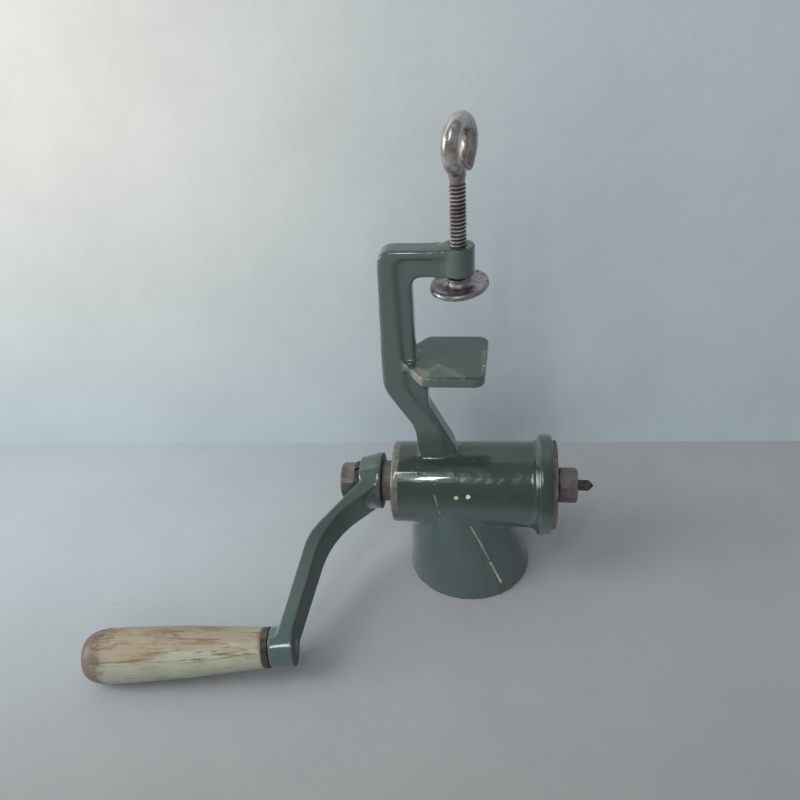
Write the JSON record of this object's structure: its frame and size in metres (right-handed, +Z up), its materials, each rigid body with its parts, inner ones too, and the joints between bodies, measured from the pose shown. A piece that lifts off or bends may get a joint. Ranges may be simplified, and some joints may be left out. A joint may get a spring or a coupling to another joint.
{
  "type": "meat grinder",
  "caption": "Hand-cranked meat grinder standing on its round hopper mouth, with a table clamp arm, an eye-headed clamp screw, a cranked handle and a tapered wooden grip.",
  "frame": {"origin": "centre of the hopper mouth, on the surface that the grinder stands on upside down", "axes": "+X along the barrel axis from the crank towards the outlet, +Z up from the hopper mouth towards the clamp, +Y away from the crank's resting side"},
  "size_m": [0.287, 0.1578, 0.282],
  "materials": {
    "enamel": "gloss",
    "bare_iron": "satin",
    "steel": "satin",
    "dark_steel": "worn",
    "rusty_steel": "rusty",
    "bronze": "satin",
    "fibre": "matt",
    "painted_wood": "worn paint"
  },
  "bodies": {
    "frame": {"body_casting": "enamel", "rear_bush": "bronze", "thrust_washer": "fibre", "perforated_plate": "dark_steel", "plate_key": "steel"},
    "drive": {"feed_screw": "bare_iron", "outlet_stud": "dark_steel", "knife": "steel", "end_nut": "rusty_steel", "nut_washer": "steel", "crank_arm": "enamel", "crank_bolt": "rusty_steel", "lock_washer": "dark_steel", "grip_spindle": "steel", "grip_washer": "dark_steel", "grip_end_washer": "dark_steel"},
    "grip": {"wooden_grip": "painted_wood"},
    "swivel": {"pad_ball": "steel"},
    "screw": {"clamp_screw": "dark_steel"},
    "pad": {"swivel_pad": "dark_steel"}
  },
  "joints": [
    {"name": "crank_turn", "type": "hinge", "parent": "frame", "child": "drive", "pos_m": [0, 0, 0.0623], "axis": [1, 0, 0], "continuous": true},
    {"name": "grip_spin", "type": "hinge", "parent": "drive", "child": "grip", "pos_m": [-0.1055, -0.0963, 0.0192], "axis": [-0.9947, -0.0938, -0.042], "continuous": true},
    {"name": "pad_travel", "type": "slide", "parent": "frame", "child": "swivel", "axis": [0, 0, -1], "range_m": [0, 0.032]},
    {"name": "screw_turn", "type": "hinge", "parent": "swivel", "child": "screw", "pos_m": [-0.003, 0, 0.2012], "axis": [0, 0, -1], "range_deg": [0, 5760]},
    {"name": "pad_tilt", "type": "hinge", "parent": "swivel", "child": "pad", "pos_m": [-0.003, 0, 0.197], "axis": [0.6198, -0.7848, 0], "range_deg": [-14.6, 0]}
  ],
  "couplings": [
    {"joint": "screw_turn", "follows": "pad_travel", "rad_per_m": 3141.6}
  ]
}
